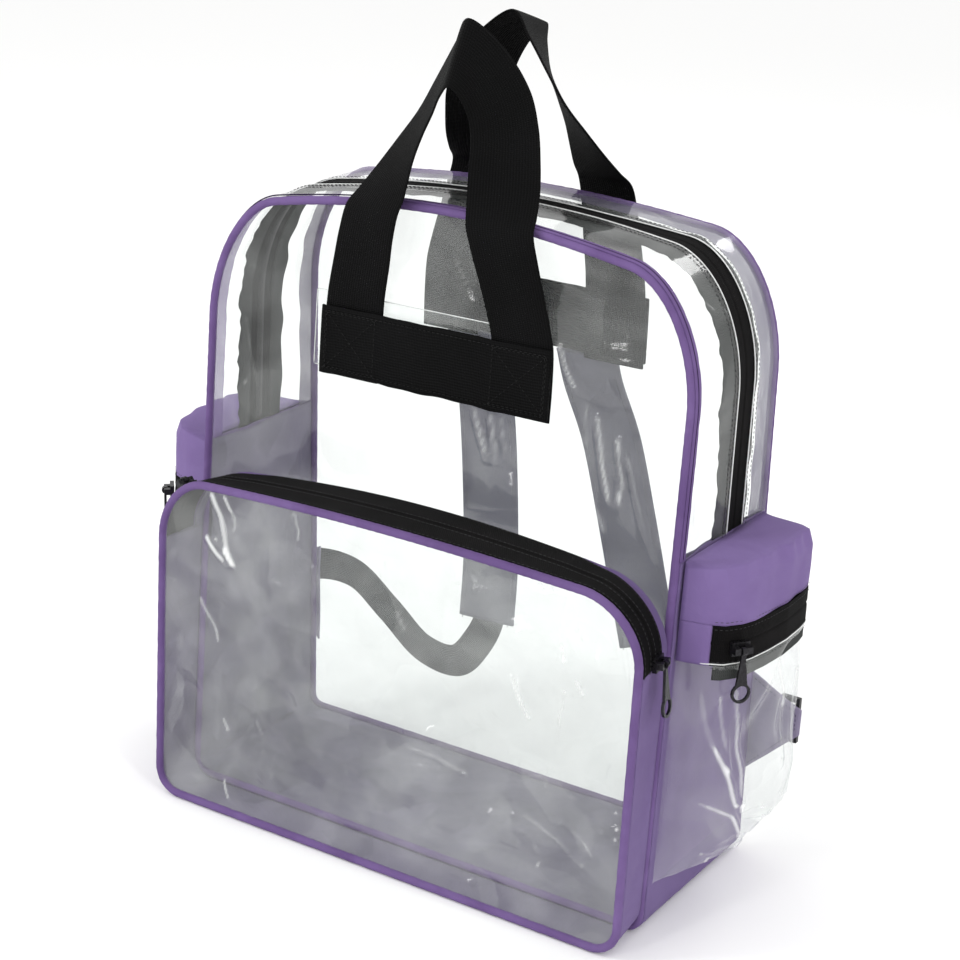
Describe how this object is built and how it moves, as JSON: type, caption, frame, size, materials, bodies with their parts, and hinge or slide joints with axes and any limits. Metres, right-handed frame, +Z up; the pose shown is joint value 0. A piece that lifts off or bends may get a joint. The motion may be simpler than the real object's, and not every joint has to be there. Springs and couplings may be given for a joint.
{
  "type": "clear stadium backpack",
  "caption": "Small clear backpack of film and thin cloth with zipped main, front and side pockets, webbing top handles pinched together and thin shoulder straps.",
  "frame": {"origin": "centre of the flat base's underside, midway between the front and back panels' feet", "axes": "+Z up towards the handles, -Y towards the front pocket, +X towards the bag's right side as seen from the front"},
  "size_m": [0.4205, 0.2, 0.4935],
  "materials": {
    "clear_film": "glossy clear soft vinyl",
    "purple_cloth": "thin plain woven polyester",
    "purple_piping": "cloth covered cord",
    "black_webbing": "ribbed polypropylene webbing",
    "zip_tape": "woven tape with a nylon coil",
    "strap_cloth": "thin padded cloth",
    "zip_hardware": "black enamel",
    "black_plastic": "moulded black plastic"
  },
  "bodies": {
    "bag": {"front_panel": "clear_film", "back_panel": "clear_film", "front_piping": "purple_piping", "back_piping": "purple_piping", "gusset_front_strip": "clear_film", "main_zipper": "zip_tape", "gusset_back_strip": "clear_film", "lower_gusset": "purple_cloth", "pocket_panel": "clear_film", "pocket_piping": "purple_piping", "pocket_zipper": "zip_tape", "pocket_gusset": "purple_cloth", "side_pocket_band_right": "purple_cloth", "side_pocket_zipper_right": "zip_tape", "side_pocket_pouch_right": "clear_film", "side_pocket_band_left": "purple_cloth", "side_pocket_zipper_left": "zip_tape", "side_pocket_pouch_left": "clear_film", "front_handle": "black_webbing", "back_handle": "black_webbing", "front_handle_band": "black_webbing", "back_handle_band": "black_webbing", "shoulder_strap_right": "strap_cloth", "shoulder_strap_left": "strap_cloth", "strap_webbing_right": "black_webbing", "strap_webbing_left": "black_webbing", "strap_tab_right": "purple_cloth", "strap_tab_left": "purple_cloth", "strap_adjuster_right": "black_plastic", "strap_adjuster_left": "black_plastic", "side_slider_right": "zip_hardware", "side_slider_left": "zip_hardware", "pocket_slider_right": "zip_hardware", "pocket_slider_left": "zip_hardware", "main_slider": "zip_hardware"},
    "side_pull_right": {"side_pull_right": "zip_hardware"},
    "side_pull_left": {"side_pull_left": "zip_hardware"},
    "pocket_pull_right": {"pocket_pull_right": "zip_hardware"},
    "pocket_pull_left": {"pocket_pull_left": "zip_hardware"}
  },
  "joints": [
    {"name": "side_pull_right_swing", "type": "hinge", "parent": "bag", "child": "side_pull_right", "pos_m": [0.20058, -0.03335, 0.17535], "axis": [-0.5667, -0.8239, 0], "range_deg": [0, 165]},
    {"name": "side_pull_left_swing", "type": "hinge", "parent": "bag", "child": "side_pull_left", "pos_m": [-0.20943, -0.03398, 0.17535], "axis": [-0.6734, 0.7393, 0], "range_deg": [0, 165]},
    {"name": "pocket_pull_right_swing", "type": "hinge", "parent": "bag", "child": "pocket_pull_right", "pos_m": [0.17168, -0.06871, 0.17256], "axis": [0.1059, -0.9944, 0], "range_deg": [0, 165]},
    {"name": "pocket_pull_left_swing", "type": "hinge", "parent": "bag", "child": "pocket_pull_left", "pos_m": [-0.15705, -0.07631, 0.2053], "axis": [0.1846, 0.9828, 0], "range_deg": [0, 165]}
  ]
}
